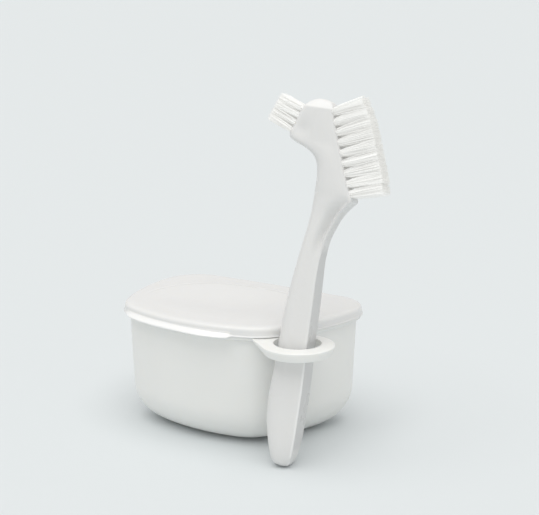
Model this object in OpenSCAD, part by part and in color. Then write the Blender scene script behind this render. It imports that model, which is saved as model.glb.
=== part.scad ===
// Denture case: a moulded tub with an overlapping lid, and a two-headed
// brush that stands through a ring moulded on the tub's front right corner.
// Origin at the centre of the tub's base, +Z up, the lid's pull ledge faces -Y.

/* [Case outline] */
// Width of the lid's side, left to right
case_w = 107.5; // [100:0.5:115]
// Depth of the lid's side, front to back
case_d = 76.4; // [72:0.2:84]
// Width across the two front corners
front_w = 91; // [84:0.5:98]
// Radius of the front corners
front_corner_r = 22; // [18:0.5:26]
// Radius of the back corners
back_corner_r = 17.8; // [14:0.2:22]
// Radius of the bulging front
front_bulge_r = 90; // [75:1:160]
// Radius of the bulging left and right sides
side_bulge_r = 100; // [85:1:200]
// Radius of the nearly straight back
back_bulge_r = 900; // [400:10:2000]

/* [Tub] */
// Height of the rim that the lid rests on
tub_h = 51.7; // [44:0.1:58]
// Wall thickness
tub_wall = 2; // [1.5:0.1:2.4]
// Floor thickness
tub_floor = 2.2; // [1.6:0.1:3.5]
// How far the wall stands back under the lid's side
wall_inset = 2.3; // [1.8:0.1:3]
// Inward slope of the wall in degrees
wall_draft = 2.35; // [1:0.05:4]
// Radius where the wall turns into the base
base_r = 18; // [12:0.5:19]
// Height of the band round the rim
rim_band_h = 1.9; // [1.4:0.1:3]
// How far the band stands back under the lid's side
rim_band_inset = 0.35; // [0.2:0.05:0.8]

/* [Lid] */
// Height of the lid above the rim
lid_h = 4.1; // [3.4:0.1:6]
// Thickness of the lid's top
lid_t = 1.8; // [1.4:0.1:2.2]
// Radius of the lid's top edge
lid_edge_r = 0.9; // [0.5:0.1:1.5]
// Thickness of the lid's side
lid_side_t = 1.5; // [1.2:0.1:2]
// How far the thin lip stands out from the lid's side
lip_out = 0.45; // [0.2:0.05:0.8]
// Thickness of the lip and of the pull ledge
lip_t = 0.8; // [0.6:0.1:1.2]
// Open line between the lip and the rim
shadow_gap = 0.3; // [0.1:0.05:0.5]
// Greatest width of the pull ledge
ledge_w = 3.8; // [2:0.1:4.5]
// Depth of the plug wall that drops into the tub
plug_h = 3; // [2:0.1:5]
// Thickness of the plug wall
plug_t = 1.3; // [1:0.1:1.6]
// Clearance between the plug wall and the tub
plug_clear = 0.4; // [0.25:0.05:0.6]
// Rise of the lid's panel inside the rim zone
panel_rise = 0.5; // [0:0.05:0.8]
// Depth of the dish in the middle of the panel
panel_dish = 0.9; // [0.2:0.05:1.1]
// Distance of the panel's edge from the lid's side
panel_inset = 12; // [9:0.5:15]

/* [Brush ring] */
// Width of the ring's band
ring_band = 5.3; // [4:0.1:7]
// Thickness of the ring
ring_t = 3.9; // [2.5:0.1:5]
// Radius of the ring's edges
ring_edge_r = 0.8; // [0.5:0.1:1.2]
// Distance of the ring's top below the rim
ring_drop = 0.7; // [0.6:0.1:3]
// How far the ring's outside is set off from its hole, away from the tub
ring_shift = 1.6; // [0:0.1:2]
// Direction of that set-off, in degrees
ring_shift_turn = -50; // [-60:1:-40]
// Distance between the ring's hole and the lid's side
ring_web = 0.5; // [0.5:0.1:3]
// Direction of the ring from the front corner's centre, in degrees
ring_turn = -24; // [-34:1:-20]
// Direction of the front web's root from the corner's centre
web_turn = -59; // [-64:1:-56]
// Thickness of the front web at its root
web_t = 0.9; // [0.8:0.1:2]
// Clearance between the brush handle and the ring's hole
brush_play = 0.3; // [0.2:0.05:1]

/* [Brush handle] */
// Length of the handle
handle_len = 152; // [146:1:158]
// Lean of the handle to the back, in degrees
lean_back = 11; // [0:0.5:12]
// Lean of the handle towards its long bristles
lean_side = 5.8; // [0:0.2:7]
// Direction of the long bristles, in degrees from +X
brush_turn = 14; // [0:1:24]
// Gap between the handle's end and the table
stand_gap = 0.1; // [0.05:0.05:0.5]
// Place of the handle in the ring's hole, towards the long bristles
seat_x = 0.1; // [0:0.05:0.5]
// Place of the handle in the ring's hole, sideways
seat_y = -0.2; // [-0.4:0.05:0.4]
// Rounding of the edges of the flat thumb side
edge_r = 0.6; // [0.3:0.1:1]

/* [Bristles] */
// Rows of tufts in the long bristle field
main_rows = 9; // [7:1:9]
// Tufts side by side in a row
tufts_across = 4; // [3:1:4]
// Distance between rows of the long field
row_pitch = 4.25; // [3.6:0.05:4.3]
// Distance between tufts side by side
tuft_pitch = 2.75; // [2.6:0.05:2.8]
// Distance between the strands of one tuft at its root
strand_pitch = 0.7; // [0.6:0.05:0.8]
// Thickness of a strand
strand_w = 0.44; // [0.3:0.02:0.5]
// Length of the long bristles next to the handle
main_len_low = 15.8; // [12:0.1:18]
// Length of the long bristles at the top
main_len_top = 16.2; // [12:0.1:17]
// Tilt of the lowest long tufts towards the head's top, in degrees
main_tilt_low = -3; // [-4:0.1:4]
// Tilt of the top long tufts towards the head's top, in degrees
main_tilt_top = 5.5; // [0:0.1:12]
// Rows of tufts in the short field on the back of the head
end_rows = 4; // [3:1:4]
// Distance between rows of the short field
end_pitch = 3.3; // [3:0.05:3.4]
// Length of the short bristles
end_len = 10.2; // [8:0.1:14]
// Thickness of the slice of head that carries a row
slice_t = 1.2; // [0.8:0.1:1.6]
// Length of that slice along the head
slice_l = 2.8; // [2.6:0.1:3]
// Length, width and thickness of a tuft's metal anchor
anchor = [1.6, 2.2, 0.3];

/* [Hidden] */
main_names = [for (i = [1 : main_rows]) str("main_tuft_row_", i)];
end_names = [for (i = [1 : end_rows]) str("end_tuft_row_", i)];
$fn = 48;

tub_white = [0.86, 0.87, 0.85];
lid_white = [0.96, 0.96, 0.95];
brush_white = [0.90, 0.90, 0.89];
nylon = [0.93, 0.93, 0.90];
brass = [0.80, 0.66, 0.36];

// Outline of the case, inset by d, as tangent arcs round four corners

corner_growth = 0.04;
corner_fill = 0.78;
corner_steps = 8;
front_steps = 22;
side_steps = 4;

// The corners get rounder towards the base, as far as the depth leaves room
function corner_r(r, d) = min(r - d + corner_growth * d * d, corner_fill * (case_d / 2 - d));

// Centre of the arc of radius r that rounds off two corner circles
function arc_centre(a, ra, b, rb, r) =
    let (
        da = r - ra,
        db = r - rb,
        gap = norm(b - a),
        along = (da * da - db * db + gap * gap) / (2 * gap),
        off = sqrt(da * da - along * along),
        dir = (b - a) / gap
    )
    a + dir * along + [-dir[1], dir[0]] * off;

function front_corner(d) =
    let (
        r = corner_r(front_corner_r, d),
        big = front_bulge_r - d,
        x = front_w / 2 - d - r
    )
    [x, -case_d / 2 + d + big - sqrt((big - r) * (big - r) - x * x)];

function back_corner(d) =
    let (r = corner_r(back_corner_r, d))
    [case_w / 2 - d - r, case_d / 2 - d - r];

function turn_of(v) = atan2(v[1], v[0]);
function turn_past(a, b) = b < a ? b + 360 : b;

function outline(d, front_cuts = front_steps) =
    let (
        f = front_corner(d),
        b = back_corner(d),
        rf = corner_r(front_corner_r, d),
        rb = corner_r(back_corner_r, d),
        mids = [[-f[0], f[1]], f, b, [-b[0], b[1]]],
        radii = [rf, rf, rb, rb],
        bulge = [front_bulge_r - d, side_bulge_r - d, back_bulge_r - d, side_bulge_r - d],
        steps = [front_cuts, side_steps, side_steps, side_steps],
        arcs = [for (i = [0 : 3])
            arc_centre(mids[i], radii[i], mids[(i + 1) % 4], radii[(i + 1) % 4], bulge[i])]
    )
    [for (i = [0 : 3])
        let (
            j = (i + 1) % 4,
            t0 = turn_of(mids[i] - arcs[i]),
            t1 = turn_past(t0, turn_of(mids[j] - arcs[i])),
            t2 = turn_past(t1, turn_of(mids[j] - arcs[j]))
        )
        each concat(
            [for (k = [0 : steps[i] - 1])
                let (t = t0 + (t1 - t0) * k / steps[i])
                arcs[i] + bulge[i] * [cos(t), sin(t)]],
            [for (k = [0 : corner_steps - 1])
                let (t = t1 + (t2 - t1) * k / corner_steps)
                mids[j] + radii[j] * [cos(t), sin(t)]])];

function at_height(points, z) = [for (p = points) [p[0], p[1], z]];

// A closed solid through a stack of rings with the same number of points
module loft(rings) {
    n = len(rings[0]);
    top = len(rings) - 1;
    points = [for (ring = rings) each ring];
    skin = [for (i = [0 : top - 1], k = [0 : n - 1])
        let (a = i * n + k, b = i * n + (k + 1) % n)
        each [[a, b + n, b], [a, a + n, b + n]]];
    first_cap = [for (k = [0 : n - 1]) k];
    last_cap = [for (k = [n - 1 : -1 : 0]) top * n + k];
    polyhedron(points, concat(skin, [first_cap], [last_cap]), convexity = 6);
}

// Tub

rim_z = tub_h;
tub_front_steps = 12;
band_z = rim_z - rim_band_h;
mouth_inset = wall_inset + tub_wall;
slope = tan(wall_draft);
inner_r = base_r - tub_wall;

// Inset and height of the outside, from the base up to the rim
tub_outside = concat(
    [for (a = [0 : 15 : 75])
        [wall_inset + (band_z - base_r) * slope + base_r * (1 - sin(a)), base_r * (1 - cos(a))]],
    [[wall_inset + (band_z - base_r) * slope, base_r],
     [wall_inset + 0.8 * slope, band_z - 0.8],
     [rim_band_inset + 0.3, band_z],
     [rim_band_inset, band_z + 0.3],
     [rim_band_inset, rim_z - 0.4],
     [rim_band_inset + 0.4, rim_z]]);

// The inside, from the mouth down to the floor
tub_inside = concat(
    [[mouth_inset - 0.4, rim_z],
     [mouth_inset, rim_z - 0.4],
     [mouth_inset + (rim_z - base_r) * slope, tub_floor + inner_r]],
    [for (a = [70 : -17.5 : 0])
        [mouth_inset + (rim_z - base_r) * slope + inner_r * (1 - sin(a)),
         tub_floor + inner_r * (1 - cos(a))]]);

// Handle sections: each curve below gives one size of the handle against
// its height above the handle's lower end

// The curves were measured on a handle 152 long, and stretch with its length
stretch = handle_len / 152;
head_tilt = atan(tan(21.6) / stretch);
end_tilt = atan(tan(20) / stretch);

// Rounded back of the handle, the neck, and the boss of the short bristles
back_line = [[0, 0], [0.6, -1.8], [1.8, -3.0], [3.9, -4.0], [8.5, -5.6], [13.7, -7.1],
    [20, -8.2], [28, -8.7], [41, -8.3], [51, -8.1], [62, -8.0], [74, -7.1], [90, -5.2],
    [101, -3.7], [109, -3.2], [118.6, -3.2], [125, -3.9], [128.4, -5.3], [131, -7.7],
    [133, -11.4], [134.6, -15.4], [136.4, -17.2], [138.6, -16.8], [148.7, -13],
    [150.6, -11.6], [151.6, -9.6], [152, -8]];
// Flat thumb side, the rise of the thumb rest to the chin, and the bristle face
front_line = [[0, 4.2], [0.6, 5.0], [1.8, 5.7], [3.9, 6.3], [8.5, 6.8], [13.7, 7.0], [41, 6.7],
    [60, 6.4], [80, 6.3], [90, 6.1], [96, 5.2], [100, 6.2], [104, 7.8], [107.5, 9.7],
    [110.5, 12.2], [112.6, 14.0], [114.4, 13.3], [117, 11.8], [121, 10.1], [125, 8.52],
    [142, 1.78], [146.5, 0], [149, -1.2], [151, -3.1], [151.7, -4.4], [152, -5.4]];
// Half of the greatest width
half_width = [[0, 2.2], [0.6, 3.7], [1.8, 4.7], [3.9, 5.5], [8.5, 6.3], [13.7, 6.6], [28, 6.9],
    [51, 6.8], [74, 6.5], [92, 6.1], [104, 6.0], [112, 6.6], [120, 7.0], [144, 7.0],
    [148.4, 6.5], [150.6, 5.4], [151.6, 4.0], [152, 2.4]];
// Half of the width of the flat thumb side, the thumb rest and the bristle face
half_face = [[0, 1.5], [0.6, 2.6], [1.8, 3.6], [3.9, 4.6], [8.5, 5.7], [13.7, 6.1], [28, 6.4],
    [51, 6.3], [74, 6.1], [92, 5.6], [97, 4.6], [104, 4.4], [109, 5.0], [114, 5.7],
    [148, 5.7], [150.4, 4.0], [151.6, 2.6], [152, 1.4]];
// How far the flanks are drawn in between the body and the thumb rest
flank_in = [[0, 0], [88, 0], [96, 1.5], [104, 2.3], [110, 1.7], [116, 0.3], [120, 0], [152, 0]];
// Depth of the hollow across the thumb rest
thumb_dish = [[0, 0], [92, 0], [98, 0.8], [105, 1.2], [110, 0.8], [113.4, 0], [152, 0]];
// Squareness of the back: 2 is an ellipse, more is boxier
back_power = [[0, 2], [92, 2.1], [112, 2.3], [126, 2.6], [134, 3.4], [148, 3.4], [152, 2.4]];

// Smooth value of a curve at height h
function slope_at(t, i) =
    i <= 0 || i >= len(t) - 1 ? 0
    : let (
        a = (t[i][1] - t[i - 1][1]) / (t[i][0] - t[i - 1][0]),
        b = (t[i + 1][1] - t[i][1]) / (t[i + 1][0] - t[i][0])
    )
    a * b <= 0 ? 0 : 2 * a * b / (a + b);
function span_of(t, h, i = 0) = i >= len(t) - 2 || h < t[i + 1][0] ? i : span_of(t, h, i + 1);
function curve(t, h) =
    let (
        i = span_of(t, h),
        w = t[i + 1][0] - t[i][0],
        f = (h - t[i][0]) / w,
        f2 = f * f,
        f3 = f2 * f
    )
    t[i][1] * (2 * f3 - 3 * f2 + 1) + t[i + 1][1] * (3 * f2 - 2 * f3)
        + w * slope_at(t, i) * (f3 - 2 * f2 + f) + w * slope_at(t, i + 1) * (f3 - f2);

function bezier(a, b, c, d, f) =
    a * pow(1 - f, 3) + b * 3 * f * pow(1 - f, 2) + c * 3 * f * f * (1 - f) + d * pow(f, 3);
function sign_pow(v, p) = sign(v) * pow(abs(v), p);
function blend(a, b, f) = a + (b - a) * f;

// One section at height h on the measured handle: x towards the thumb side, y across
back_steps = 7;
flank_steps = 4;
function section(h) =
    let (
        back = curve(back_line, h),
        front = curve(front_line, h),
        wide = curve(half_width, h),
        face = curve(half_face, h),
        drawn = curve(flank_in, h),
        dish = curve(thumb_dish, h),
        power = curve(back_power, h),
        belly = back + min((front - back) * 0.5, 9),
        e = min(edge_r, face * 0.4, (front - belly) * 0.4),
        start = [belly, wide],
        lead = [belly + (front - belly) * 0.45 - drawn, wide - drawn * 0.6],
        bend = [front - e - (front - belly) * 0.2, face + (wide - face) * 0.5 - drawn],
        near = [front - e, face + e * 0.3],
        half = concat(
            [for (k = [0 : back_steps - 1])
                let (a = 180 - 90 * k / back_steps)
                [belly + (belly - back) * sign_pow(cos(a), 2 / power),
                 wide * sign_pow(sin(a), 2 / power)]],
            [for (k = [0 : flank_steps]) bezier(start, lead, bend, near, k / flank_steps)],
            [[front, face - e], [front - dish * 0.7, face * 0.5]]),
        m = len(half)
    )
    concat(
        [for (k = [0 : m - 1]) [half[k][0], -half[k][1], h * stretch]],
        [[front - dish, 0, h * stretch]],
        [for (k = [m - 1 : -1 : 1]) [half[k][0], half[k][1], h * stretch]]);

handle_heights = concat([0, 0.6, 1.8, 3.9, 8.5, 13.7], [for (h = [20 : 7 : 83]) h],
    [88, 91, 93, 94.5, 96, 98, 101, 104, 107, 109.5, 111, 112.6, 114.6, 120,
     125, 128, 130, 131.5, 133, 134, 135, 136.4, 138.6, 145.4, 148.4,
     150.2, 151.3, 152]);
handle_rings = [for (h = handle_heights) section(h)];

// Places

function spin_x(p, a) = [p[0], p[1] * cos(a) - p[2] * sin(a), p[1] * sin(a) + p[2] * cos(a)];
function spin_y(p, a) = [p[0] * cos(a) + p[2] * sin(a), p[1], -p[0] * sin(a) + p[2] * cos(a)];
function spin_z(p, a) = [p[0] * cos(a) - p[1] * sin(a), p[0] * sin(a) + p[1] * cos(a), p[2]];
function leaned(p) = spin_z(spin_y(spin_x(p, -lean_back), lean_side), brush_turn);

handle_dir = leaned([0, 0, 1]);
lean_slope = norm([handle_dir[0], handle_dir[1]]) / handle_dir[2];
// Farthest point of the part of the handle that passes the ring
passing_reach = max([for (ring = handle_rings) if (ring[0][2] < 92 * stretch)
    each [for (p = ring) norm([p[0] + seat_x, p[1] + seat_y])]]);
hole_r = passing_reach + ring_t / 2 * lean_slope + brush_play;
ring_r = hole_r + ring_band;
ring_mid = front_corner(0)
    + (front_corner_r + hole_r + ring_web) * [cos(ring_turn), sin(ring_turn)];
ring_top = rim_z - ring_drop;
seat_shift = leaned([seat_x, seat_y, 0]);
seat_point = [ring_mid[0] + seat_shift[0], ring_mid[1] + seat_shift[1], ring_top - ring_t / 2];
// The handle slides along its own axis until its lowest point is at the table
lowest = min([for (ring = handle_rings) if (ring[0][2] < 12 * stretch)
    each [for (p = ring) leaned(p)[2]]]);
rise = (stand_gap - lowest - seat_point[2]) / handle_dir[2];
brush_foot = seat_point + handle_dir * rise;

module in_brush() {
    translate(brush_foot) rotate([-lean_back, lean_side, brush_turn]) children();
}

// Bristle fields

main_mid_h = 131.3 * stretch;
main_mid_x = curve(front_line, main_mid_h / stretch);
end_mid_h = 142.6 * stretch;
end_mid_x = curve(back_line, end_mid_h / stretch);
field_w = (tufts_across - 1) * tuft_pitch + 3 * strand_pitch + 0.4;
// How far a tuft's tips spread along the head and across it, against its root
main_spread = 2.2;
end_spread = 1.3;
tip_spread = 1.12;

module on_main_face() {
    translate([main_mid_x, 0, main_mid_h]) rotate([0, 90 - head_tilt, 0]) children();
}

module on_end_face() {
    translate([end_mid_x, 0, end_mid_h]) rotate([0, end_tilt - 90, 0]) children();
}

// Place of row i along its face, +x being down the long field and up the short one
function main_x(i) = ((main_rows + 1) / 2 - i) * row_pitch;
function end_x(i) = (i - (end_rows + 1) / 2) * end_pitch;
function tuft_y(k) = (k - (tufts_across - 1) / 2) * tuft_pitch;

// One row: a slice of the head with its strands, three by three in each tuft.
// The slice's top is a grid of cells, and a strand stands in each cell of a tuft.
module tuft_row(long, tilt, spread_x) {
    xs = concat([-slice_l / 2], [for (j = [0 : 3]) (j - 1.5) * strand_pitch], [slice_l / 2]);
    ys = concat([-field_w / 2],
        [for (k = [0 : tufts_across - 1], j = [0 : 3]) tuft_y(k) + (j - 1.5) * strand_pitch],
        [field_w / 2]);
    nx = len(xs);
    ny = len(ys);
    grid = [for (x = xs, y = ys) [x, y, 0]];
    corners = [[xs[0], ys[0], -slice_t], [xs[nx - 1], ys[0], -slice_t],
        [xs[nx - 1], ys[ny - 1], -slice_t], [xs[0], ys[ny - 1], -slice_t]];
    // cells that carry a strand, as lower left grid places
    full = [for (i = [1 : nx - 3], j = [1 : ny - 3]) if (j % 4 != 0) [i, j]];
    bare = [for (i = [0 : nx - 2], j = [0 : ny - 2])
        if (i == 0 || i == nx - 2 || j == 0 || j == ny - 2 || j % 4 == 0) [i, j]];
    strands = [for (c = full)
        let (
            x = (xs[c[0]] + xs[c[0] + 1]) / 2,
            y = (ys[c[1]] + ys[c[1] + 1]) / 2,
            lean = tan(tilt)
        )
        each concat(
            [for (a = [90, 210, 330]) [x + strand_w / 2 * cos(a), y + strand_w / 2 * sin(a), 0]],
            [for (a = [90, 210, 330])
                [x * spread_x - lean * long + strand_w * 0.4 * cos(a),
                 y * tip_spread + strand_w * 0.4 * sin(a), long]])];
    base = nx * ny;
    foot = base + 4;
    function at(i, j) = i * ny + j;
    cell_faces = [for (n = [0 : len(full) - 1])
        let (
            i = full[n][0],
            j = full[n][1],
            a = at(i, j),
            b = at(i + 1, j),
            c = at(i + 1, j + 1),
            d = at(i, j + 1),
            t = foot + n * 6,
            l = t + 1,
            r = t + 2
        )
        each [[a, b, r], [a, r, l], [b, c, r], [c, t, r], [c, d, t], [d, l, t], [d, a, l],
            [l, r, r + 3], [l, r + 3, l + 3], [r, t, t + 3], [r, t + 3, r + 3],
            [t, l, l + 3], [t, l + 3, t + 3], [t + 3, l + 3, r + 3]]];
    bare_faces = [for (c = bare)
        let (a = at(c[0], c[1]), b = at(c[0] + 1, c[1]), d = at(c[0], c[1] + 1))
        each [[a, b, b + 1], [a, b + 1, d]]];
    low_side = [for (i = [0 : nx - 2]) [base, at(i + 1, 0), at(i, 0)]];
    high_side = [for (i = [0 : nx - 2]) [base + 2, at(i, ny - 1), at(i + 1, ny - 1)]];
    left_side = [for (j = [0 : ny - 2]) [base + 3, at(0, j), at(0, j + 1)]];
    right_side = [for (j = [0 : ny - 2]) [base + 1, at(nx - 1, j + 1), at(nx - 1, j)]];
    closing = [[base, base + 1, at(nx - 1, 0)], [base + 2, base + 3, at(0, ny - 1)],
        [base + 3, base, at(0, 0)], [base + 1, base + 2, at(nx - 1, ny - 1)],
        [base, base + 3, base + 2], [base, base + 2, base + 1]];
    faces = concat(cell_faces, bare_faces, low_side, high_side, left_side, right_side, closing);
    polyhedron(concat(grid, corners, strands), [for (f = faces) [f[2], f[1], f[0]]],
        convexity = 10);
}

function row_share(i) = (i - 1) / (main_rows - 1);

module main_row(i) {
    color(nylon)
        in_brush() on_main_face() translate([main_x(i), 0, 0])
            tuft_row(blend(main_len_low, main_len_top, row_share(i)),
                blend(main_tilt_low, main_tilt_top, row_share(i)), main_spread);
}

module end_row(i) {
    color(nylon)
        in_brush() on_end_face() translate([end_x(i), 0, 0])
            tuft_row(end_len, 0, end_spread);
}

module slice_blank() {
    translate([-slice_l / 2, -field_w / 2, -slice_t]) cube([slice_l, field_w, slice_t + 3]);
}

module row_anchors() {
    for (k = [0 : tufts_across - 1])
        translate([-anchor[2] / 2, tuft_y(k) - anchor[1] / 2, -slice_t - anchor[0]])
            cube([anchor[2], anchor[1], anchor[0]]);
}

module all_anchors() {
    on_main_face() for (i = [1 : main_rows]) translate([main_x(i), 0, 0]) row_anchors();
    on_end_face() for (i = [1 : end_rows]) translate([end_x(i), 0, 0]) row_anchors();
}

module brush_handle() {
    color(brush_white)
        in_brush() difference() {
            loft(handle_rings);
            on_main_face() for (i = [1 : main_rows]) translate([main_x(i), 0, 0]) slice_blank();
            on_end_face() for (i = [1 : end_rows]) translate([end_x(i), 0, 0]) slice_blank();
            all_anchors();
        }
}

module tuft_anchors() {
    color(brass) in_brush() all_anchors();
}

// Ring that holds the brush

module soft_disc(r, t) {
    e = min(ring_edge_r, t * 0.45);
    rotate_extrude($fn = 40)
        polygon(concat(
            [[0, 0]],
            [for (a = [-90 : 30 : 0]) [r - e + e * cos(a), e + e * sin(a)]],
            [for (a = [0 : 30 : 90]) [r - e + e * cos(a), t - e + e * sin(a)]],
            [[0, t]]));
}

web_r = 1.2;
nub_r = 2.4;
web_root = front_corner(0)
    + (front_corner_r - rim_band_inset - web_r) * [cos(web_turn), sin(web_turn)];
nub_root = ring_mid + [-(hole_r - 1.2), ring_r + 1.2];
ring_centre = ring_mid + ring_shift * [cos(ring_shift_turn), sin(ring_shift_turn)];

module ring_bracket() {
    difference() {
        translate([0, 0, ring_top - ring_t]) {
            hull() {
                translate(ring_centre) soft_disc(ring_r, ring_t);
                translate([web_root[0], web_root[1], ring_t - web_t]) soft_disc(web_r, web_t);
            }
            hull() {
                translate(ring_mid + [-2, 2]) soft_disc(ring_r - 3, ring_t);
                translate(nub_root) soft_disc(nub_r, ring_t);
            }
        }
        translate([0, 0, ring_top - ring_t - 1])
            linear_extrude(ring_t + 2) polygon(outline(wall_inset + tub_wall * 0.6));
    }
}

module tub() {
    color(tub_white)
        difference() {
            union() {
                loft([for (p = concat(tub_outside, tub_inside))
                    at_height(outline(p[0], tub_front_steps), p[1])]);
                ring_bracket();
            }
            translate([ring_mid[0], ring_mid[1], ring_top - ring_t - 1])
                cylinder(r = hole_r, h = ring_t + 2, $fn = 96);
        }
}

// Lid

lid_top = rim_z + lid_h;
lip_z = rim_z + shadow_gap;
plug_out = mouth_inset + plug_clear;
lid_under = lid_top - lid_t;
lip_soft = 0.15;

// Share of the pull ledge's width in each direction from the lid's middle: it
// starts at the front left corner, swells, and has a rounded right end
ledge_line = [[-180, 0], [-141, 0], [-131, 0.42], [-120, 0.52], [-104, 0.46], [-91, 0.54],
    [-80, 0.76], [-70, 1], [-61, 0.94], [-56, 0.62], [-52, 0], [180, 0]];
// The lid's lip, which widens into the ledge
function lip_ring(z, trim) =
    let (line = outline(0), line_out = outline(-1))
    [for (k = [0 : len(line) - 1])
        let (share = curve(ledge_line, turn_of(line[k])), out = blend(lip_out, ledge_w, share))
        concat(line[k] + (line_out[k] - line[k]) * (out - trim), z)];

// Top of the lid: a flat rim zone, a low step up, and a panel that dips in the middle
panel_foot = panel_inset - 2;
panel_head = panel_inset + 2;
panel_z = lid_top + panel_rise;
function drawn_in(share) = [for (p = outline(panel_head)) p * share];

lid_rings = concat(
    [for (share = [0.4, 0.6, 0.8])
        at_height(drawn_in(share), panel_z - panel_dish * (0.5 + 0.5 * cos(180 * share)))],
    [at_height(outline(panel_head), panel_z - panel_dish * 0.04),
     at_height(outline(panel_inset), lid_top + panel_rise * 0.5),
     at_height(outline(panel_foot), lid_top)],
    [for (a = [90 : -30 : 0])
        at_height(outline(lid_edge_r * (1 - cos(a))), lid_top - lid_edge_r * (1 - sin(a)))],
    [at_height(outline(0), lip_z + lip_t),
     lip_ring(lip_z + lip_t * 0.75, lip_soft),
     lip_ring(lip_z + lip_t * 0.3, 0),
     lip_ring(lip_z, lip_soft),
     at_height(outline(rim_band_inset + 0.2), lip_z),
     at_height(outline(rim_band_inset + 0.25), rim_z),
     at_height(outline(rim_band_inset + 0.25 + lid_side_t), rim_z),
     at_height(outline(rim_band_inset + 0.35 + lid_side_t), lid_under),
     at_height(outline(plug_out), lid_under),
     at_height(outline(plug_out), rim_z - plug_h + 0.5),
     at_height(outline(plug_out + 0.4), rim_z - plug_h),
     at_height(outline(plug_out + plug_t), rim_z - plug_h),
     at_height(outline(plug_out + plug_t + 0.1), lid_under),
     at_height(outline(panel_head), lid_under),
     at_height(drawn_in(0.4), lid_under - panel_dish + panel_rise)]);

module lid() {
    color(lid_white) loft([for (i = [len(lid_rings) - 1 : -1 : 0]) lid_rings[i]]);
}

tub();
lid();
brush_handle();
for (i = [1 : main_rows]) main_row(i);
for (i = [1 : end_rows]) end_row(i);
tuft_anchors();
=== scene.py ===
# Denture case of white moulded plastic: a tub with a lift-off lid, and a brush
# with two bristle fields that stands through a ring on the tub's front right corner.

import cmath
import math
import random

import bmesh
import bpy
from mathutils import Matrix, Vector


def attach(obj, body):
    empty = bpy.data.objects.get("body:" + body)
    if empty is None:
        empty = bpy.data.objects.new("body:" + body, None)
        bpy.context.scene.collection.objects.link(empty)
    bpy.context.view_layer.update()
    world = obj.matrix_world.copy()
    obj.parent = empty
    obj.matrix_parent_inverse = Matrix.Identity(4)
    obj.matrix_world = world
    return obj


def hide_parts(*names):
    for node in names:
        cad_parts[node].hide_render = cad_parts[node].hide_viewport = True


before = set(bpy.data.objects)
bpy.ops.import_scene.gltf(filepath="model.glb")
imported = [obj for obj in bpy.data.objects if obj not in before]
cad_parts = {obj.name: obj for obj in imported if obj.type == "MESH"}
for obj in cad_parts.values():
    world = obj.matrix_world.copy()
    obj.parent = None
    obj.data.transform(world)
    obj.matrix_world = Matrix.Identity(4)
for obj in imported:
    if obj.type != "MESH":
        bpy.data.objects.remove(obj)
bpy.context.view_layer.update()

# Studio: a plain pale floor that runs to the horizon under one broad soft lamp
# overhead, a weak one from the front right and an even sky. The camera stands
# where the photograph was taken from, a little above the lid.

# The floor and the camera are in metres. The object's own sizes are in
# millimetres, which MM turns into metres
MM = 0.001
floor_radius = 14

floor_bm = bmesh.new()
bmesh.ops.create_circle(floor_bm, cap_ends=True, segments=64, radius=floor_radius)
floor_mesh = bpy.data.meshes.new("floor")
floor_bm.to_mesh(floor_mesh)
floor_bm.free()
floor = bpy.data.objects.new("floor", floor_mesh)
bpy.context.scene.collection.objects.link(floor)
floor_paint = bpy.data.materials.new("floor_paint")
floor_paint.use_nodes = True
floor_shader = floor_paint.node_tree.nodes["Principled BSDF"]
floor_shader.inputs["Base Color"].default_value = (0.70, 0.735, 0.748, 1)
floor_shader.inputs["Roughness"].default_value = 0.75
floor_shader.inputs["Specular IOR Level"].default_value = 0.2
floor_mesh.materials.append(floor_paint)

sky = bpy.data.worlds.new("sky")
bpy.context.scene.world = sky
sky.use_nodes = True
sky_light = sky.node_tree.nodes["Background"]
sky_light.inputs["Color"].default_value = (1.0, 0.995, 0.985, 1)
sky_light.inputs["Strength"].default_value = 0.64

for lamp_name, energy, spread, towards in (
    ("key_lamp", 1.58, 65, (0.1, -0.27, 1.0)),
    ("front_lamp", 0.15, 50, (0.6, -0.8, 0.1)),
):
    lamp = bpy.data.objects.new(lamp_name, bpy.data.lights.new(lamp_name, "SUN"))
    lamp.data.energy = energy
    lamp.data.angle = math.radians(spread)
    lamp.data.color = (1.0, 0.995, 0.98)
    lamp.rotation_euler = Vector(towards).to_track_quat("Z", "Y").to_euler()
    bpy.context.scene.collection.objects.link(lamp)

camera = bpy.data.objects.new("camera", bpy.data.cameras.new("camera"))
camera.data.lens = 86.52
camera.data.sensor_width = 36
camera.data.clip_start = 0.02
camera.data.clip_end = 60
camera.location = (0.34009, -0.45425, 0.20133)
camera_right = Vector((0.81863, 0.57433, 0))
camera_up = Vector((-0.12410, 0.17689, 0.97638))
camera_back = camera_right.cross(camera_up)
camera.rotation_euler = Matrix((camera_right, camera_up, camera_back)).transposed().to_euler()
bpy.context.scene.collection.objects.link(camera)
bpy.context.scene.camera = camera
bpy.context.scene.view_settings.view_transform = "Standard"

# Tub: one injection-moulded polypropylene shell, semi-matt and faintly
# translucent. Its wall leans in to a big rounded base, and a band runs round
# the rim under the lid.

case_width, case_depth, front_width = 107.5, 76.4, 91
# From the front left corner round to the back left one
corner_radii = (22, 22, 17.8, 17.8)
# Front, right side, back and left side
bulge_radii = (90, 100, 900, 100)
corner_growth, corner_fill = 0.04, 0.78
rim_height = 51.7


def corner_radius(radius, inset):
    """Radius of a corner of the outline at that inset, rounder towards the base."""
    grown = radius - inset + corner_growth * inset * inset
    return min(grown, corner_fill * (case_depth / 2 - inset))


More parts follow.
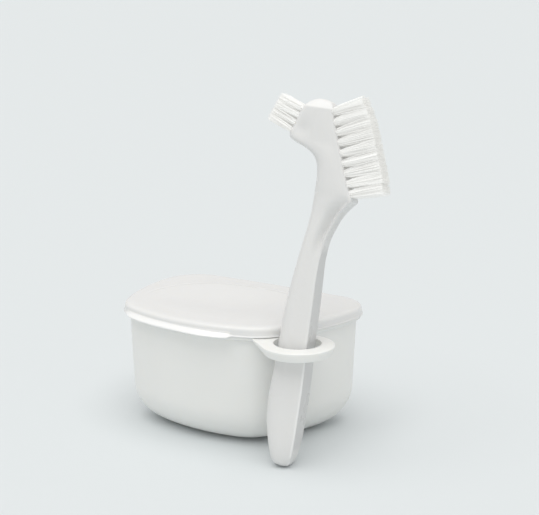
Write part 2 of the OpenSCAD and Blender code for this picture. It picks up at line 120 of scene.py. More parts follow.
def case_outline(inset, front_cuts=44, side_cuts=8, corner_cuts=14):
    """The case's outline as tangent arcs round four corners, as x + y j, from the front left."""
    radii = [corner_radius(r, inset) for r in corner_radii]
    bulges = [r - inset for r in bulge_radii]
    front_x = front_width / 2 - inset - radii[0]
    reach = math.sqrt((bulges[0] - radii[0]) ** 2 - front_x**2)
    front_y = -case_depth / 2 + inset + bulges[0] - reach
    back_x = case_width / 2 - inset - radii[2]
    back_y = case_depth / 2 - inset - radii[2]
    middles = [
        complex(-front_x, front_y),
        complex(front_x, front_y),
        complex(back_x, back_y),
        complex(-back_x, back_y),
    ]
    centres = []
    for i in range(4):
        a, b = middles[i], middles[(i + 1) % 4]
        to_a, to_b, gap = bulges[i] - radii[i], bulges[i] - radii[(i + 1) % 4], abs(b - a)
        along = (to_a**2 - to_b**2 + gap**2) / (2 * gap)
        way = (b - a) / gap
        centres.append(a + way * along + 1j * way * math.sqrt(to_a**2 - along**2))
    points = []
    for i in range(4):
        j = (i + 1) % 4
        turns = [
            cmath.phase(middles[i] - centres[i]),
            cmath.phase(middles[j] - centres[i]),
            cmath.phase(middles[j] - centres[j]),
        ]
        for k in (1, 2):
            while turns[k] < turns[k - 1]:
                turns[k] += 2 * math.pi
        cuts = front_cuts if i == 0 else side_cuts
        for k in range(cuts):
            turn = turns[0] + (turns[1] - turns[0]) * k / cuts
            points.append(centres[i] + cmath.rect(bulges[i], turn))
        for k in range(corner_cuts):
            turn = turns[1] + (turns[2] - turns[1]) * k / corner_cuts
            points.append(middles[j] + cmath.rect(radii[j], turn))
    return points


def level(outline, height):
    """The outline's points at that height, in millimetres."""
    return [Vector((p.real, p.imag, height)) for p in outline]


def drawn_up(rings):
    """A closed body drawn up ring by ring: each edge loop is extruded and set in its place."""
    bm = bmesh.new()
    loop = [bm.verts.new(p * MM) for p in rings[0]]
    edges = [bm.edges.new((loop[i - 1], loop[i])) for i in range(len(loop))]
    bmesh.ops.contextual_create(bm, geom=edges)
    for ring in rings[1:]:
        made = bmesh.ops.extrude_edge_only(bm, edges=edges)["geom"]
        fresh = {g for g in made if isinstance(g, bmesh.types.BMVert)}
        edges = [g for g in made if isinstance(g, bmesh.types.BMEdge) and g.is_boundary]
        loop = [
            next(e.other_vert(v) for e in v.link_edges if e.other_vert(v) in fresh)
            for v in loop
        ]
        for v, p in zip(loop, ring):
            v.co = p * MM
    bmesh.ops.contextual_create(bm, geom=edges)
    bmesh.ops.recalc_face_normals(bm, faces=bm.faces)
    return bm


def made_object(name, bm, material, crease=40):
    """An object from the bmesh, smooth but for edges sharper than crease degrees."""
    mesh = bpy.data.meshes.new(name)
    bm.to_mesh(mesh)
    bm.free()
    mesh.shade_smooth()
    mesh.set_sharp_from_angle(angle=math.radians(crease))
    mesh.materials.append(material)
    piece = bpy.data.objects.new(name, mesh)
    bpy.context.scene.collection.objects.link(piece)
    return piece


def noise_over(material, scale, detail=2):
    """A noise over the piece's own place, coarser with a smaller scale."""
    nodes, links = material.node_tree.nodes, material.node_tree.links
    place = nodes.new("ShaderNodeTexCoord")
    noise = nodes.new("ShaderNodeTexNoise")
    noise.inputs["Scale"].default_value = scale
    noise.inputs["Detail"].default_value = detail
    links.new(place.outputs["Object"], noise.inputs["Vector"])
    return noise.outputs["Fac"]


def uneven_gloss(material, noise, low, high):
    """Roughness that wanders between low and high with the noise."""
    nodes, links = material.node_tree.nodes, material.node_tree.links
    gloss = nodes.new("ShaderNodeMapRange")
    gloss.inputs["To Min"].default_value = low
    gloss.inputs["To Max"].default_value = high
    links.new(noise, gloss.inputs["Value"])
    links.new(gloss.outputs["Result"], nodes["Principled BSDF"].inputs["Roughness"])


def surface_grain(material, noise, strength, depth):
    """A fine grain that follows the noise, depth millimetres deep at full strength."""
    nodes, links = material.node_tree.nodes, material.node_tree.links
    bump = nodes.new("ShaderNodeBump")
    bump.inputs["Strength"].default_value = strength
    bump.inputs["Distance"].default_value = depth * MM
    links.new(noise, bump.inputs["Height"])
    links.new(bump.outputs["Normal"], nodes["Principled BSDF"].inputs["Normal"])


# Sockets of a mix node that is set to colours
mix_share, mix_first, mix_second, mix_result = 0, 6, 7, 2


def moulded_plastic(name, colour, tint, roughness, grain, glow):
    """White moulded plastic: cloudy tint, uneven gloss and a fine mould grain."""
    material = bpy.data.materials.new(name)
    material.use_nodes = True
    nodes, links = material.node_tree.nodes, material.node_tree.links
    shader = nodes["Principled BSDF"]
    shader.inputs["IOR"].default_value = 1.49
    shader.inputs["Subsurface Weight"].default_value = glow
    shader.inputs["Subsurface Radius"].default_value = (1.0, 0.95, 0.85)
    shader.inputs["Subsurface Scale"].default_value = 2.0 * MM
    cloud = nodes.new("ShaderNodeMix")
    cloud.data_type = "RGBA"
    cloud.inputs[mix_first].default_value = (*colour, 1)
    cloud.inputs[mix_second].default_value = (*tint, 1)
    links.new(noise_over(material, scale=34, detail=3), cloud.inputs[mix_share])
    links.new(cloud.outputs[mix_result], shader.inputs["Base Color"])
    smear = noise_over(material, scale=90, detail=5)
    uneven_gloss(material, smear, roughness - 0.05, roughness + 0.06)
    surface_grain(material, noise_over(material, scale=2600), grain, depth=0.05)
    return material


wall_thickness, floor_thickness = 2, 2.2
wall_inset, wall_slope = 2.3, math.tan(math.radians(2.35))
base_radius, base_steps = 18, 12
band_height, band_inset = 1.9, 0.35
rim_round, mouth_round = 0.2, 0.4
band_foot = rim_height - band_height
mouth_inset = wall_inset + wall_thickness
outer_foot = wall_inset + (band_foot - base_radius) * wall_slope
inner_foot = mouth_inset + (rim_height - base_radius) * wall_slope
inner_radius = base_radius - wall_thickness
# The band swells out of the wall in a soft step: each point's inset from the
# band's face and its height over the band's foot
band_step = [(1.97, -0.9), (1.6, -0.5), (0.5, -0.05), (0.12, 0.12), (0, 0.4)]

base_turns = [math.radians(90 * step / base_steps) for step in range(base_steps + 1)]
tub_profile = [
    (outer_foot + base_radius * (1 - math.sin(turn)), base_radius * (1 - math.cos(turn)))
    for turn in base_turns
]
tub_profile += [(wall_inset + below * wall_slope, band_foot - below) for below in (16, 1.6)]
tub_profile += [(band_inset + inward, band_foot + up) for inward, up in band_step]
tub_profile += [
    (band_inset, rim_height - rim_round),
    (band_inset + rim_round * 0.3, rim_height - rim_round * 0.3),
    (band_inset + rim_round, rim_height),
    (mouth_inset - mouth_round, rim_height),
    (mouth_inset, rim_height - mouth_round),
    (inner_foot, floor_thickness + inner_radius),
]
tub_profile += [
    (
        inner_foot + inner_radius * (1 - math.sin(turn)),
        floor_thickness + inner_radius * (1 - math.cos(turn)),
    )
    for turn in reversed(base_turns[:-1])
]
shell = drawn_up([level(case_outline(inset), height) for inset, height in tub_profile])

tub_plastic = moulded_plastic(
    "tub_plastic",
    colour=(0.865, 0.868, 0.85),
    tint=(0.83, 0.835, 0.812),
    roughness=0.42,
    grain=0.2,
    glow=0.25,
)
tub = made_object("tub_shell", shell, tub_plastic, 50)

# Brush ring: part of the same moulding. A flat band with rounded edges goes
# round the brush's hole, and a web runs from it along the front into the rim
# band, thinning out as it goes.

hole_radius, ring_width, ring_thickness, ring_edge, ring_draft = 10.051, 5.3, 4.1, 0.5, 1.3
ring_top = rim_height - 0.7
hole_middle, ring_middle = Vector((53.237, -25.250)), Vector((54.265, -26.476))
web_root, web_radius, web_thickness = Vector((34.033, -29.539)), 1.2, 0.9
# A second web fills the corner between the ring and the tub's right side
fill_shift, fill_inset = Vector((-2, 2)), 3
fill_root, fill_radius = Vector((44.386, -8.699)), 2.4
# The ring runs this far into the wall. Between these two heights, whatever
# would reach further in is cut away
ring_sunk, trim_foot, trim_top = 1.2, 20, 60
hole_cut = 12


def soft_disc(bm, middle, radius, thickness, draft=0):
    """A disc with rounded edges under the ring's top plane, spun from its profile."""
    edge = min(ring_edge, thickness * 0.45)
    foot = ring_top - thickness
    profile = [(0, foot)]
    for first_turn, reach, edge_at in (
        (-90, radius - draft, foot + edge),
        (0, radius, ring_top - edge),
    ):
        for turn in map(math.radians, range(first_turn, first_turn + 91, 15)):
            profile.append((reach - edge + edge * math.cos(turn), edge_at + edge * math.sin(turn)))
    profile.append((0, ring_top))
    verts = [bm.verts.new(Vector((middle.x + r, middle.y, h)) * MM) for r, h in profile]
    edges = [bm.edges.new(pair) for pair in zip(verts, verts[1:])]
    bmesh.ops.spin(
        bm,
        geom=verts + edges,
        cent=Vector((middle.x, middle.y, 0)) * MM,
        axis=(0, 0, 1),
        angle=2 * math.pi,
        steps=96,
        use_merge=True,
    )


def web_between(near, far):
    """The convex body round two soft discs, each given as soft_disc takes it."""
    bm = bmesh.new()
    soft_disc(bm, *near)
    soft_disc(bm, *far)
    bmesh.ops.delete(bm, geom=list(bm.edges), context="EDGES_FACES")
    hull = bmesh.ops.convex_hull(bm, input=bm.verts)
    bmesh.ops.delete(bm, geom=hull["geom_interior"], context="VERTS")
    bmesh.ops.recalc_face_normals(bm, faces=bm.faces)
    return bm


def joined(piece, tool_bm, operation):
    """Joins a body to the piece or cuts it out of the piece, for good."""
    tool = made_object("tool", tool_bm, piece.data.materials[0])
    step = piece.modifiers.new("step", "BOOLEAN")
    step.operation, step.object, step.solver = operation, tool, "EXACT"
    graph = bpy.context.evaluated_depsgraph_get()
    mesh = bpy.data.meshes.new_from_object(piece.evaluated_get(graph))
    piece.modifiers.clear()
    old, piece.data = piece.data, mesh
    bpy.data.meshes.remove(old)
    tool_mesh = tool.data
    bpy.data.objects.remove(tool)
    bpy.data.meshes.remove(tool_mesh)


ring_radius = hole_radius + ring_width
ring = made_object(
    "ring",
    web_between(
        (ring_middle, ring_radius, ring_thickness, ring_draft),
        (web_root, web_radius, web_thickness),
    ),
    tub_plastic,
)
joined(
    ring,
    web_between(
        (hole_middle + fill_shift, ring_radius - fill_inset, ring_thickness),
        (fill_root, fill_radius, ring_thickness),
    ),
    "UNION",
)
trim_outline = case_outline(wall_inset + ring_sunk)
joined(ring, drawn_up([level(trim_outline, h) for h in (trim_foot, trim_top)]), "DIFFERENCE")
hole = bmesh.new()
bmesh.ops.create_cone(
    hole,
    cap_ends=True,
    segments=128,
    radius1=hole_radius * MM,
    radius2=hole_radius * MM,
    depth=hole_cut * MM,
    matrix=Matrix.Translation(Vector((hole_middle.x, hole_middle.y, ring_top)) * MM),
)
ring_bm = bmesh.new()
ring_bm.from_mesh(ring.data)
ring_mesh = ring.data
bpy.data.objects.remove(ring)
bpy.data.meshes.remove(ring_mesh)
joined(tub, ring_bm, "UNION")
joined(tub, hole, "DIFFERENCE")
tub.data.shade_smooth()
tub.data.set_sharp_from_angle(angle=math.radians(38))
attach(tub, "case")
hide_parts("tub")

# Lid: one cap of a glossier plastic. It has a dished oval panel in its top, a
# rounded top edge, a thin lip that swells into the pull ledge at the front, and
# a plug wall underneath that drops into the tub's mouth.

lid_height, lid_thickness, lid_side = 4.1, 1.8, 1.5
lip_reach, ledge_reach = 0.45, 3.7
lid_top = rim_height + lid_height
lip_foot = rim_height - 0.35
lid_under = lid_top - lid_thickness
plug_inset, plug_thickness, plug_height = mouth_inset + 0.4, 1.3, 3
# Underneath, the lid is level out to its edge from this inset on. The part
# inside it sags a little down to a flat middle, under_share of its size
under_inset, under_share, under_sag = 14, 0.4, 0.4
# Share of the ledge's width in each direction from the lid's middle, in degrees
ledge_line = [
    (-180, 0), (-141, 0), (-131, 0.42), (-120, 0.52), (-104, 0.46), (-91, 0.54),
    (-80, 0.76), (-70, 1), (-60.5, 0.95), (-55.5, 0.8), (-53.8, 0.5), (-53, 0), (180, 0),
]
# Share of the ledge's height in the same directions
ledge_heights = [
    (-180, 0), (-141, 0), (-133, 0.9), (-120, 1), (-100, 1), (-80, 0.75), (-62, 0.5),
    (-55, 0.4), (-53, 0), (180, 0),
]


def curve_at(line, at):
    """Smooth value of a line of (place, value) points, level at its turning points."""
    i = 0
    while i < len(line) - 2 and at >= line[i + 1][0]:
        i += 1

    def slope_at(k):
        if k in (0, len(line) - 1):
            return 0
        a = (line[k][1] - line[k - 1][1]) / (line[k][0] - line[k - 1][0])
        b = (line[k + 1][1] - line[k][1]) / (line[k + 1][0] - line[k][0])
        return 0 if a * b <= 0 else 2 * a * b / (a + b)

    wide = line[i + 1][0] - line[i][0]
    f = (at - line[i][0]) / wide
    f2, f3 = f * f, f * f * f
    return (
        line[i][1] * (2 * f3 - 3 * f2 + 1)
        + line[i + 1][1] * (3 * f2 - 2 * f3)
        + wide * slope_at(i) * (f3 - 2 * f2 + f)
        + wide * slope_at(i + 1) * (f3 - f2)
    )


def lid_outline(inset):
    """The case's outline at that inset, with enough points for the ledge's ends."""
    return case_outline(inset, front_cuts=88, corner_cuts=40)


def lid_ring(inset, height):
    """A ring of the lid at that inset and height."""
    return level(lid_outline(inset), height)


lid_line, lid_line_out = lid_outline(0), lid_outline(-1)
ledge_ways = [math.degrees(cmath.phase(p)) for p in lid_line]
ledge_shares = [(curve_at(ledge_line, w), curve_at(ledge_heights, w)) for w in ledge_ways]


def lip_ring(height, rise, out, trim):
    """A ring of the lip: out is its share of the full width, rise lifts it where the ledge is."""
    ring = []
    for near, far, (width, lift) in zip(lid_line, lid_line_out, ledge_shares):
        reach = (lip_reach + (ledge_reach - lip_reach) * width) * out - trim
        at = near + (far - near) * reach
        ring.append(Vector((at.real, at.imag, height + rise * lift)))
    return ring


# The oval panel: half its width, its reach to the back and to the front, and
# where its middle is. It stands out at the back and runs out to the front
panel_wide, panel_back, panel_front, panel_middle = 41, 30, 24, -4
panel_rise, panel_dish, panel_groove = 0.5, 1.1, 0.5
panel_squareness, side_share, share_growth = 2.3, 0.25, 1.1
panel_shares = [
    max(0, min(1, side_share + share_growth * math.sin(cmath.phase(p)))) for p in lid_line
]
panel_line = []
for p in lid_line:
    way = cmath.phase(p - panel_middle * 1j)
    deep = panel_back if way > 0 else panel_front
    across, along = abs(math.cos(way) / panel_wide), abs(math.sin(way) / deep)
    reach = (across**panel_squareness + along**panel_squareness) ** (-1 / panel_squareness)
    panel_line.append(panel_middle * 1j + cmath.rect(reach, way))


def panel_ring(size, rise, dip=0):
    """A ring of the panel at that share of its size, rise over the lid's top edge, less dip."""
    near_edge = min(1, size) ** 2
    ring = []
    for p, share in zip(panel_line, panel_shares):
        height = lid_top + rise * (0.5 + (share - 0.5) * near_edge) - dip
        ring.append(Vector((p.real * size, panel_middle + (p.imag - panel_middle) * size, height)))
    return ring


dish_sizes = (0.04, 0.1, 0.18, 0.28, 0.4, 0.52, 0.64, 0.75, 0.85, 0.92, 0.965)
# The groove round the panel: size of each ring and its height
groove = [
    (0.985, panel_rise * 0.98),
    (0.993, panel_rise - panel_groove * 0.6),
    (1, panel_rise - panel_groove),
    (1.007, panel_rise - panel_groove * 0.85),
    (1.017, panel_rise * 0.72),
    (1.03, panel_rise * 0.66),
]
# The rounded top edge: inset of each ring and its drop from the lid's top
top_edge = [
    (4.8, 0), (3.4, 0.03), (2.3, 0.1), (1.5, 0.24), (0.95, 0.44), (0.5, 0.74), (0.22, 1.1),
    (0.06, 1.55), (0, 2.1),
]
# The lip and the ledge: each ring's height over the lip's foot, its lift at the
# ledge, its share of the full width, and how far it stands back
lip_edge = [
    (0.85, 1.05, 0, 0.04), (0.72, 1.0, 0, -0.02), (0.28, 0, 1, 0.1), (0.22, -0.05, 1, 0.02),
    (0.1, -0.3, 1, 0), (0, -0.35, 1, 0.08),
]
lid_rings = [
    panel_ring(size, panel_rise, panel_dish * (0.5 + 0.5 * math.cos(math.pi * size)))
    for size in dish_sizes
]
lid_rings += [panel_ring(size, rise) for size, rise in groove]
lid_rings += [lid_ring(inset, lid_top - drop) for inset, drop in top_edge]
lid_rings += [lip_ring(lip_foot + up, *ledge) for up, *ledge in lip_edge]
lid_rings += [
    lid_ring(0.15, lip_foot),
    lid_ring(0.18, rim_height),
    lid_ring(band_inset + 0.25 + lid_side, rim_height),
    lid_ring(band_inset + 0.35 + lid_side, lid_under),
    lid_ring(plug_inset, lid_under),
    lid_ring(plug_inset, rim_height - plug_height + 0.5),
    lid_ring(plug_inset + 0.4, rim_height - plug_height),
    lid_ring(plug_inset + plug_thickness, rim_height - plug_height),
    lid_ring(plug_inset + plug_thickness + 0.1, lid_under),
    lid_ring(under_inset, lid_under),
    level([p * under_share for p in lid_outline(under_inset)], lid_under - under_sag),
]
lid_plastic = moulded_plastic(
    "lid_plastic",
    colour=(0.80, 0.80, 0.795),
    tint=(0.775, 0.775, 0.768),
    roughness=0.22,
    grain=0.05,
    glow=0.2,
)


def marked_colour(material, mark, colour):
    """Where a mesh has that mark, its plastic takes the other colour."""
    nodes, links = material.node_tree.nodes, material.node_tree.links
    marked = nodes.new("ShaderNodeVertexColor")
    marked.layer_name = mark
    tint = nodes.new("ShaderNodeMix")
    tint.data_type = "RGBA"
    tint.inputs[mix_second].default_value = (*colour, 1)
    base_colour = nodes["Principled BSDF"].inputs["Base Color"]
    links.new(marked.outputs["Color"], tint.inputs[mix_share])
    links.new(base_colour.links[0].from_socket, tint.inputs[mix_first])
    links.new(tint.outputs[mix_result], base_colour)


def mark_places(bm, mark, share_at):
    """Marks places of a mesh: share_at gives their share from a point in millimetres."""
    layer = bm.verts.layers.float_color.new(mark)
    for v in bm.verts:
        share = max(0, min(1, share_at(v.co / MM)))
        v[layer] = (share, share, share, 1)


def ledge_highlight_share_at(p):
    """Painted highlight on the lid near the lip's foot, where the ledge is high."""
    if p.z > lip_foot + 2:
        return 0
    return 3 * curve_at(ledge_heights, math.degrees(math.atan2(p.y, p.x)))


# Painted highlight: the lid is made lighter near the lip's foot where the ledge is high
marked_colour(lid_plastic, "painted_highlight", (0.93, 0.93, 0.92))
lid_bm = drawn_up(lid_rings)
mark_places(lid_bm, "painted_highlight", ledge_highlight_share_at)
lid = made_object("lid_cap", lid_bm, lid_plastic, 50)
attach(lid, "lid")
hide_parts("lid")

# Brush handle: one solid moulding of white plastic. A rounded back, a flat
# thumb side, a hollow for the thumb under the chin, and a head with two drilled
# bristle faces. It leans in the ring, and its foot is on the table.

brush_foot = Vector((50.909, -35.751, 0.788)) * MM
brush_place = (
    Matrix.Translation(brush_foot)
    @ Matrix.Rotation(math.radians(14), 4, "Z")
    @ Matrix.Rotation(math.radians(5.8), 4, "Y")
    @ Matrix.Rotation(math.radians(-11), 4, "X")
)
# Each line gives one size of the handle, in millimetres, against its height:
# its back, its thumb side, half its width, half the width of the flat thumb
# side, how far the flanks are drawn in and how deep the thumb's hollow is. The
# last one gives how square the back is
back_line = [
    (0, 0), (0.6, -1.8), (1.8, -3.0), (3.9, -4.0), (8.5, -5.6), (13.7, -7.1), (20, -8.2),
    (28, -8.7), (41, -8.3), (51, -8.1), (62, -8.0), (74, -7.1), (90, -5.2), (101, -3.7),
    (109, -3.2), (118.6, -3.2), (125, -3.9), (128, -5.3), (130.4, -8), (132.2, -12),
    (133.7, -15.8), (135.3, -17.5), (137, -17.5), (138.6, -16.9), (148.4, -13.2),
    (150.4, -11.4), (151.5, -9.4), (152, -8),
]
front_line = [
    (0, 4.2), (0.6, 5.0), (1.8, 5.7), (3.9, 6.3), (8.5, 6.8), (13.7, 7.0), (28, 6.9),
    (41, 6.45), (51, 5.75), (60, 5.45), (70, 5.1), (80, 4.65), (86, 4.55), (90, 4.85),
    (94, 5.3), (97, 6.0), (100, 7.0), (104, 8.5), (107.5, 10.3), (110.5, 12.5),
    (112.6, 14.0), (114.4, 13.3), (117, 11.8), (121, 10.1), (125, 8.52),
    (142, 1.78), (147, 0), (149.2, -0.5), (150.6, -1.4), (151.5, -2.8), (152, -4.6),
]
half_width = [
    (0, 2.2), (0.6, 3.7), (1.8, 4.7), (3.9, 5.5), (8.5, 6.3), (13.7, 6.6), (28, 6.9),
    (51, 6.8), (74, 6.5), (92, 6.1), (104, 6.0), (112, 6.6), (120, 7.0), (143, 7.0),
    (147.9, 6.9), (148.5, 6.6), (151.1, 4.4), (151.7, 3.7), (152, 2.6),
]
half_face = [
    (0, 1.5), (0.6, 2.6), (1.8, 3.6), (3.9, 4.6), (8.5, 5.7), (13.7, 6.1), (28, 6.4),
    (51, 6.3), (70, 6.1), (80, 5.6), (86, 5.0), (92, 4.5), (97, 4.2), (104, 4.2),
    (109, 5.0), (114, 5.7), (148, 5.7), (148.6, 5.4), (151.1, 3.6), (152, 1.8),
]
flank_in = [(0, 0), (86, 0), (93, 1.2), (100, 2.3), (106, 2.2), (112, 0.9), (115.5, 0), (152, 0)]
thumb_dish = [(0, 0), (92, 0), (98, 0.8), (105, 1.2), (110, 0.8), (113.4, 0), (152, 0)]
back_power = [
    (0, 2), (92, 2.1), (112, 2.3), (126, 2.6), (134, 3.4), (148, 3.4), (152, 2.4)
]
edge_radius = 0.9
# The widest place is half way from the back to the front, but no further than this
belly_reach = 9
# Cuts round the back, along a flank and round a corner of the flat side
back_cuts, flank_cuts, edge_cuts = 16, 10, 6
# Pulls on the flank's curve: at its start, at its end, and by its drawing in
flank_lead, flank_end, flank_pull = 0.38, 0.22, 2.1
corner_pull, dish_reach = 0.6, 0.95


def bowed(a, b, c, d, f):
    """A point at share f along the smooth curve from a to d that b and c pull on."""
    g = 1 - f
    return a * g**3 + b * 3 * f * g * g + c * 3 * f * f * g + d * f**3


def handle_section(height):
    """The handle's outline at that height: x towards the thumb side, y across."""
    back, front = curve_at(back_line, height), curve_at(front_line, height)
    wide, face = curve_at(half_width, height), curve_at(half_face, height)
    drawn, dish = curve_at(flank_in, height), curve_at(thumb_dish, height)
    power = 2 / curve_at(back_power, height)
    belly = back + min((front - back) * 0.5, belly_reach)
    deep = front - belly
    edge = min(edge_radius, face * 0.4, deep * 0.4)
    half = []
    for step in range(back_cuts):
        turn = math.radians(90 * step / back_cuts)
        round_x = belly - (belly - back) * math.cos(turn) ** power
        half.append(Vector((round_x, wide * math.sin(turn) ** power)))
    start, lead = Vector((belly, wide)), Vector((belly + deep * flank_lead, wide))
    bend_y = face + (wide - face) * 0.5 - drawn * flank_pull
    bend = Vector((front - edge - deep * flank_end, bend_y))
    near = Vector((front - edge, face + edge * 0.2))
    half += [bowed(start, lead, bend, near, k / flank_cuts) for k in range(flank_cuts + 1)]
    over, corner = Vector((front, face - edge)), Vector((front, face))
    outer, inner = near.lerp(corner, corner_pull), over.lerp(corner, corner_pull)
    half += [bowed(near, outer, inner, over, k / edge_cuts) for k in range(1, edge_cuts + 1)]
    for share in (0.75, 0.5, 0.25):
        dished = dish * (1 - share**2) * dish_reach
        half.append(Vector((front - dished, (face - edge) * share)))
    ring = [Vector((p.x, -p.y, height)) for p in half]
    ring.append(Vector((front - dish, 0, height)))
    ring += [Vector((p.x, p.y, height)) for p in reversed(half[1:])]
    return ring


# Heights of the sections, close together where the form turns: the foot, the
# straight part, the thumb's hollow, the chin, the neck and the head's two ends
heights = [0, 0.2, 0.6, 1.1, 1.8, 2.8, 3.9, 5.4, 7, 8.5, 11, 13.7, 17]
heights += [20 + 4 * k for k in range(17)]
heights += [86 + 1.25 * k for k in range(18)]
heights += [108.2, 109.2, 110.2, 111, 111.6, 112.1, 112.6, 113.1, 113.7, 114.4, 115.5, 117]
heights += [119 + 1.5 * k for k in range(6)] + [127.5 + 0.8 * k for k in range(12)]
heights += [137.1, 138, 139, 140, 141.2, 142.6, 144.4, 146.2, 147.3, 147.8, 148.1, 148.5]
heights += [149.2, 150, 150.6, 151.1, 151.5, 151.8, 152]
handle_bm = drawn_up([handle_section(h) for h in heights])

# The painted shade on the flat thumb side fades out over its foot_fade and top_fade, and keeps off
# the face's edges by a margin
shade_foot, shade_top, foot_fade, top_fade = 6.5, 93, 2.5, 3
shade_skin, shade_margin = 0.3, 0.5
# Where the painted highlight lies: along the thumb side's corners between two heights, stronger
# below the ring, and on the head's end
highlight_foot, highlight_top, highlight_change, highlight_width = 5, 90, 50, 0.6
highlight_below_ring, highlight_above_ring = 0.7, 0.3
head_end, head_highlight = 148, 0.4


def facet_shade_share_at(p):
    """Painted shade: the flat thumb side is made slightly greyer."""
    on_face = p.x > curve_at(front_line, p.z) - shade_skin
    if not on_face or abs(p.y) > curve_at(half_face, p.z) - shade_margin:
        return 0
    return min((p.z - shade_foot) / foot_fade, (shade_top - p.z) / top_fade)


def edge_highlight_share_at(p):
    """Painted highlight on the head's end and along the corners of the flat thumb side, most below
    the ring.
    """
    if p.z > head_end:
        return min(head_highlight, (p.z - head_end) / highlight_width)
    if not highlight_foot < p.z < highlight_top:
        return 0
    off = math.hypot(curve_at(front_line, p.z) - p.x, curve_at(half_face, p.z) - abs(p.y))
    return min(1, 1.4 - off / highlight_width) * (
        highlight_below_ring if p.z < highlight_change else highlight_above_ring
    )


mark_places(handle_bm, "painted_shade", facet_shade_share_at)
mark_places(handle_bm, "painted_highlight", edge_highlight_share_at)

# A shallow hollow on both sides of the short field's block: its height and
# place, half its size each way, and the share by which it narrows the block
hollow_height, hollow_x, hollow_tall, hollow_wide, hollow_share = 138.6, -11.8, 3.2, 3, 0.13
block_front, block_flank = -6, 3
for v in handle_bm.verts:
    p = v.co / MM
    off = ((p.z - hollow_height) / hollow_tall) ** 2 + ((p.x - hollow_x) / hollow_wide) ** 2
    if p.x < block_front and abs(p.y) > block_flank:
        v.co.y *= 1 - hollow_share * math.exp(-off)

# Middles of the two bristle faces on the handle, and how far each leans
main_face_middle, main_face_lean = Vector((6.023, 0, 131.3)), 21.6
end_face_middle, end_face_lean = Vector((-15.603, 0, 142.6)), 20
main_rows, main_pitch = 9, 4.25
end_rows, end_pitch = 4, 3.3
tufts_across, tuft_pitch = 4, 2.75
tuft_hole_radius, tuft_hole_depth = 1.3, 1.1
main_face = (
    brush_place
    @ Matrix.Translation(main_face_middle * MM)
    @ Matrix.Rotation(math.radians(90 - main_face_lean), 4, "Y")
)
end_face = (
    brush_place
    @ Matrix.Translation(end_face_middle * MM)
    @ Matrix.Rotation(math.radians(end_face_lean - 90), 4, "Y")
)


def off_middle(number, count):
    """How many places that one of a row of count stands off the row's middle."""
    return number - (count - 1) / 2


def tuft_places(face, rows_at):
    """Places of the tufts on a bristle face, row by row, in the face's own plane."""
    tufts_at = [off_middle(k, tufts_across) * tuft_pitch for k in range(tufts_across)]
    return [
        [face @ Matrix.Translation(Vector((row_at, tuft_at, 0)) * MM) for tuft_at in tufts_at]
        for row_at in rows_at
    ]


main_rows_at = [-off_middle(i, main_rows) * main_pitch for i in range(main_rows)]
end_rows_at = [off_middle(i, end_rows) * end_pitch for i in range(end_rows)]
main_places = tuft_places(main_face, main_rows_at)
end_places = tuft_places(end_face, end_rows_at)
bmesh.ops.transform(handle_bm, matrix=brush_place, verts=handle_bm.verts)
drills = bmesh.new()
for place in sum(main_places + end_places, []):
    bmesh.ops.create_cone(
        drills,
        cap_ends=True,
        segments=20,
        radius1=tuft_hole_radius * MM,
        radius2=tuft_hole_radius * MM,
        depth=2 * tuft_hole_depth * MM,
        matrix=place,
    )
handle_plastic = moulded_plastic(
    "handle_plastic",
    colour=(0.77, 0.77, 0.762),
    tint=(0.745, 0.745, 0.737),
    roughness=0.28,
    grain=0.05,
    glow=0.12,
)
handle_shader = handle_plastic.node_tree.nodes["Principled BSDF"]
handle_shader.inputs["Specular IOR Level"].default_value = 0.12
# Painted shade: the flat thumb side is made greyer
marked_colour(handle_plastic, "painted_shade", (0.655, 0.655, 0.65))
# Painted highlight: the head's end and the thumb side's corners are made lighter
marked_colour(handle_plastic, "painted_highlight", (0.97, 0.97, 0.965))
handle = made_object("brush_body", handle_bm, handle_plastic, 60)
joined(handle, drills, "DIFFERENCE")
handle.data.shade_smooth()
handle.data.set_sharp_from_angle(angle=math.radians(60))
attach(handle, "brush")
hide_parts("brush_handle")

# Bristles: tufts of clear nylon filament folded over a metal anchor in each
# hole. The long field on the thumb side fans out into a trimmed brush; the
# short field on the end of the head stands almost straight.

strand_radius, strand_sides, strands_a_tuft = 0.115, 5, 50
tuft_radius, tuft_stretch = 1.16, 1.3
# Turn from one strand to the next in the spiral that fills a tuft
strand_turn = 2.39996
fan_power, tip_shade = 0.62, 0.55
# How far tips scatter along the row's face, across it and in length, and how
# far strands bow
tip_scatter, bow_scatter = (0.28, 0.22, 0.12), 0.08
# Stages of a strand: share of its length, share of its bow, and its thickness
# against the stage before
stages = [(0.14, 0.8, 1), (0.35, 1.6, 1), (0.65, 1.4, 1), (0.96, 0.2, 1), (1, 0, 0.55)]
chance = random.Random(7)


def colour_ramp(material, source, low, high):
    """Base colour that runs from low to high with the source."""
    nodes, links = material.node_tree.nodes, material.node_tree.links
    ramp = nodes.new("ShaderNodeValToRGB")
    ramp.color_ramp.elements[0].color = (*low, 1)
    ramp.color_ramp.elements[1].color = (*high, 1)
    links.new(source, ramp.inputs["Fac"])
    links.new(ramp.outputs["Color"], nodes["Principled BSDF"].inputs["Base Color"])


nylon = bpy.data.materials.new("nylon")
nylon.use_nodes = True
nylon_shader = nylon.node_tree.nodes["Principled BSDF"]
nylon_shader.inputs["IOR"].default_value = 1.53
# Stands in for the light that passes from strand to strand
nylon_shader.inputs["Emission Color"].default_value = (1, 1, 0.98, 1)
nylon_shader.inputs["Emission Strength"].default_value = 0.1
nylon_shade = nylon.node_tree.nodes.new("ShaderNodeVertexColor")
nylon_shade.layer_name = "shade"
colour_ramp(nylon, nylon_shade.outputs["Color"], (0.50, 0.49, 0.46), (1.0, 1.0, 0.99))
nylon_noise = noise_over(nylon, scale=900)
uneven_gloss(nylon, nylon_noise, 0.22, 0.42)
surface_grain(nylon, nylon_noise, strength=0.2, depth=0.02)


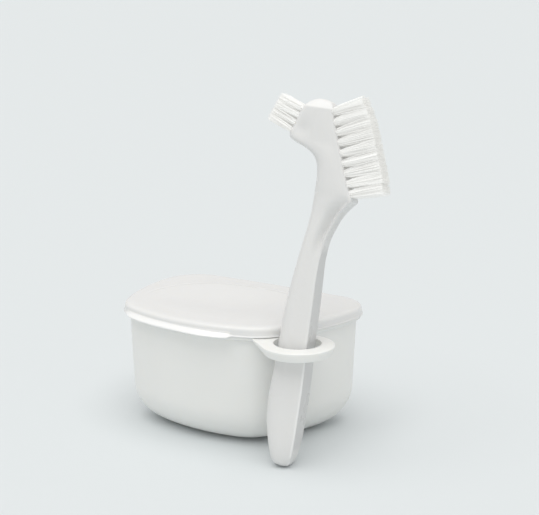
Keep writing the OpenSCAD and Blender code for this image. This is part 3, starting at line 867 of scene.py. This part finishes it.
def bristle_row(name, places, length, lean, spread_along, spread_across):
    """One row of tufts, every strand drawn out from its hole to its trimmed tip."""
    bm = bmesh.new()
    shade = bm.verts.layers.float_color.new("shade")
    strands, loops = [], []
    for number, place in enumerate(places):
        across_at = off_middle(number, tufts_across) * tuft_pitch
        for k in range(strands_a_tuft):
            reach = tuft_radius * math.sqrt((k + 0.5) / strands_a_tuft)
            turn = k * strand_turn + chance.uniform(-0.2, 0.2)
            root = Vector((reach * math.cos(turn), reach * math.sin(turn), -tuft_hole_depth))
            tip = Vector(
                (
                    root.x * spread_along - length * math.tan(math.radians(lean)),
                    root.y * tuft_stretch + across_at * (spread_across - 1),
                    length,
                )
            )
            tip += Vector([chance.gauss(0, scatter) for scatter in tip_scatter])
            bow = Vector([chance.gauss(0, bow_scatter), chance.gauss(0, bow_scatter), 0])
            loop = bmesh.ops.create_circle(
                bm,
                segments=strand_sides,
                radius=strand_radius * MM,
                matrix=place @ Matrix.Translation(root * MM),
            )["verts"]
            tone = chance.uniform(0.7, 1)
            for v in loop:
                v[shade] = (tone, tone, tone, 1)
            strands.append((place, root, tip, bow))
            loops.append(loop)
    edges = list(bm.edges)
    for share, bowing, thickness in stages:
        made = bmesh.ops.extrude_edge_only(bm, edges=edges)["geom"]
        fresh = {g for g in made if isinstance(g, bmesh.types.BMVert)}
        edges = [g for g in made if isinstance(g, bmesh.types.BMEdge) and g.is_boundary]
        for number, (place, root, tip, bow) in enumerate(strands):
            loop = [
                next(e.other_vert(v) for e in v.link_edges if e.other_vert(v) in fresh)
                for v in loops[number]
            ]
            middle_now = sum((v.co for v in loop), Vector()) / len(loop)
            fanned = root.xy.lerp(tip.xy, share**fan_power)
            at = Vector((*fanned, root.z + (tip.z - root.z) * share))
            middle_next = place @ ((at + bow * bowing) * MM)
            for v in loop:
                v.co = middle_next + (v.co - middle_now) * thickness
                if share == 1:
                    v[shade] = v[shade] * tip_shade
            loops[number] = loop
    open_edges = [e for e in bm.edges if e.is_boundary]
    bmesh.ops.holes_fill(bm, edges=open_edges, sides=strand_sides)
    bmesh.ops.recalc_face_normals(bm, faces=bm.faces)
    row = made_object(name, bm, nylon, 60)
    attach(row, "brush")
    return row


# The long field's rows stand from the chin up. Its first and last rows are
# trimmed shorter, and its rows lean from the chin's side to the head's end
main_length, main_lean, main_lean_change = 15.3, -3, 7.5
for i, places in enumerate(main_places):
    share = i / (main_rows - 1)
    length = main_length - 7 * max(0, share - 0.8) - 5 * max(0, 0.14 - share)
    lean = main_lean + main_lean_change * share
    row = bristle_row(f"main_bristles_{i + 1}", places, length, lean, 2.3, 1.12)
    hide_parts(f"main_tuft_row_{i + 1}")

end_length, end_lean_change = 10.2, 2.2
for i, places in enumerate(end_places):
    lean = end_lean_change * off_middle(i, end_rows)
    row = bristle_row(f"end_bristles_{i + 1}", places, end_length, lean, 1.5, 1.12)
    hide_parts(f"end_tuft_row_{i + 1}")

# Tuft anchors: small flat brass plates, one for each tuft, stamped from strip
# and driven into the tuft's hole, where they pin its folded strands. They sit
# deep in the head and never show.

brass = bpy.data.materials.new("anchor_brass")
brass.use_nodes = True
brass.node_tree.nodes["Principled BSDF"].inputs["Metallic"].default_value = 1
brass_noise = noise_over(brass, scale=700)
colour_ramp(brass, brass_noise, (0.50, 0.36, 0.14), (0.66, 0.50, 0.22))
uneven_gloss(brass, brass_noise, 0.25, 0.5)
surface_grain(brass, brass_noise, strength=0.2, depth=0.02)
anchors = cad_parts["tuft_anchors"]
anchors.data.materials.clear()
anchors.data.materials.append(brass)
